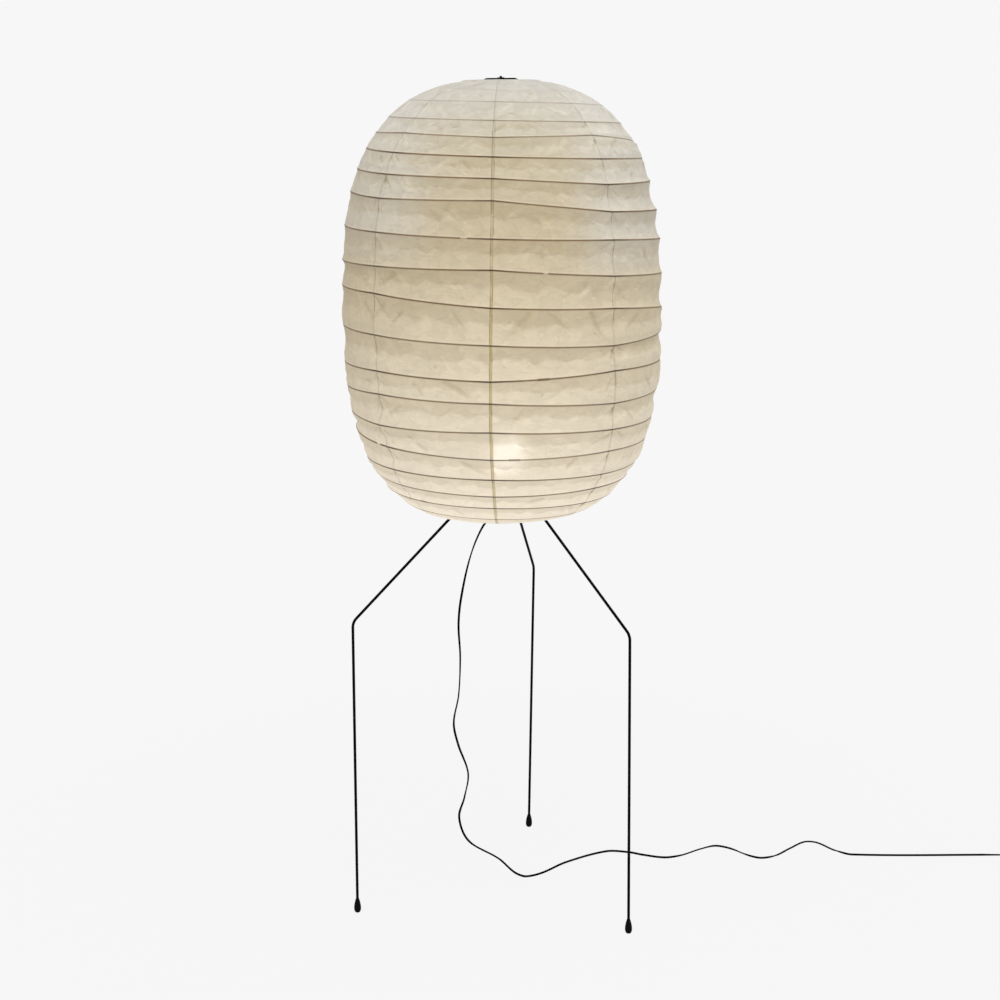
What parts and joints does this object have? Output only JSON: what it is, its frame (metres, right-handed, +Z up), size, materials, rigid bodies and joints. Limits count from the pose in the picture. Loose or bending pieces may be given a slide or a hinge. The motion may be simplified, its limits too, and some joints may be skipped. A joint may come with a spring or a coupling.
{
  "type": "paper lantern floor lamp",
  "caption": "Tall barrel-shaped paper lantern shade with a spiral bamboo rib, on thin bent rod legs with rubber feet, a bulb holder and a long flat cord with switch and plug.",
  "frame": {"origin": "on the floor, under the vertical axis of the shade and bulb", "axes": "+Z up along the lamp's axis, +X to the viewer's right, +Y away from the viewer"},
  "size_m": [1.8454, 0.7372, 1.9366],
  "materials": {
    "washi_paper": "matte, soft, fibrous, lets light through",
    "bamboo": "satin split bamboo",
    "black_steel": "satin black powder coat",
    "foot_rubber": "matte black",
    "plated_steel": "satin nickel plate",
    "holder_plastic": "matte black, moulded",
    "holder_ceramic": "matte white",
    "contact_brass": "satin",
    "lead_sleeve": "satin",
    "bulb_glass": "frosted white",
    "bulb_cap_metal": "satin, rolled",
    "bulb_insulator": "glossy black glass",
    "solder": "satin",
    "clear_glass": "clear",
    "filament": "dull",
    "cord_jacket": "satin black, flexible",
    "cord_plastic": "satin black, moulded",
    "relief_rubber": "matte black"
  },
  "bodies": {
    "lamp": {"paper_gore_1": "washi_paper", "paper_gore_2": "washi_paper", "paper_gore_3": "washi_paper", "paper_gore_4": "washi_paper", "paper_gore_5": "washi_paper", "paper_gore_6": "washi_paper", "paper_gore_7": "washi_paper", "paper_gore_8": "washi_paper", "bamboo_rib": "bamboo", "top_ring": "black_steel", "bottom_ring": "black_steel", "ring_clips": "plated_steel", "harp": "black_steel", "leg_hub": "black_steel", "leg_back": "black_steel", "leg_left": "black_steel", "leg_right": "black_steel", "foot_cap_back": "foot_rubber", "foot_cap_left": "foot_rubber", "foot_cap_right": "foot_rubber", "holder_shell": "holder_plastic", "holder_nut_lower": "holder_plastic", "holder_nut_upper": "holder_plastic", "holder_cap": "holder_plastic", "holder_insert": "holder_ceramic", "screw_shell": "contact_brass", "centre_contact": "contact_brass", "terminal_screws": "contact_brass", "holder_leads": "lead_sleeve", "cord_grip": "holder_plastic", "cord_run": "cord_jacket", "switch_base": "cord_plastic", "switch_cover": "cord_plastic", "switch_pivot": "plated_steel", "switch_screws": "plated_steel", "switch_contacts": "contact_brass", "switch_reliefs": "relief_rubber", "cord_lead": "cord_jacket", "cord_coil": "cord_jacket", "coil_tie": "relief_rubber", "cord_end": "cord_jacket", "plug_body": "cord_plastic", "plug_blades": "contact_brass", "plug_relief": "relief_rubber"},
    "clamp_screw_back": {"leg_screw_back": "plated_steel"},
    "clamp_screw_left": {"leg_screw_left": "plated_steel"},
    "clamp_screw_right": {"leg_screw_right": "plated_steel"},
    "top_nut": {"finial": "black_steel"},
    "bulb_carrier": {"bulb_contact": "solder"},
    "bulb": {"bulb_glass": "bulb_glass", "bulb_cap": "bulb_cap_metal", "bulb_insulator": "bulb_insulator", "bulb_stem": "clear_glass", "bulb_filament": "filament"},
    "rocker": {"switch_rocker": "cord_plastic"}
  },
  "joints": [
    {"name": "clamp_screw_back_turn", "type": "hinge", "parent": "lamp", "child": "clamp_screw_back", "pos_m": [0.00331, 0.05858, 1.01223], "axis": [-0.9767, 0.2147, 0], "range_deg": [0, 360]},
    {"name": "clamp_screw_left_turn", "type": "hinge", "parent": "lamp", "child": "clamp_screw_left", "pos_m": [-0.05133, -0.02842, 1.01223], "axis": [0.3387, -0.9409, 0], "range_deg": [0, 360]},
    {"name": "clamp_screw_right_turn", "type": "hinge", "parent": "lamp", "child": "clamp_screw_right", "pos_m": [0.05027, -0.03024, 1.01223], "axis": [0.6455, 0.7638, 0], "range_deg": [0, 360]},
    {"name": "top_nut_turn", "type": "hinge", "parent": "lamp", "child": "top_nut", "pos_m": [0, 0, 1.935], "axis": [0, 0, 1], "range_deg": [0, 360]},
    {"name": "bulb_rise", "type": "slide", "parent": "lamp", "child": "bulb_carrier", "axis": [0, 0, 1], "range_m": [0, 0.0218]},
    {"name": "bulb_turn", "type": "hinge", "parent": "bulb_carrier", "child": "bulb", "pos_m": [0, 0, 1.03], "axis": [0, 0, 1], "range_deg": [0, 2160]},
    {"name": "rocker_swing", "type": "hinge", "parent": "lamp", "child": "rocker", "pos_m": [1.343, 0.169, 0.011], "axis": [0, 1, 0], "range_deg": [0, 20]}
  ],
  "couplings": [
    {"joint": "bulb_rise", "follows": "bulb_turn", "m_per_rad": 0.0005776}
  ]
}
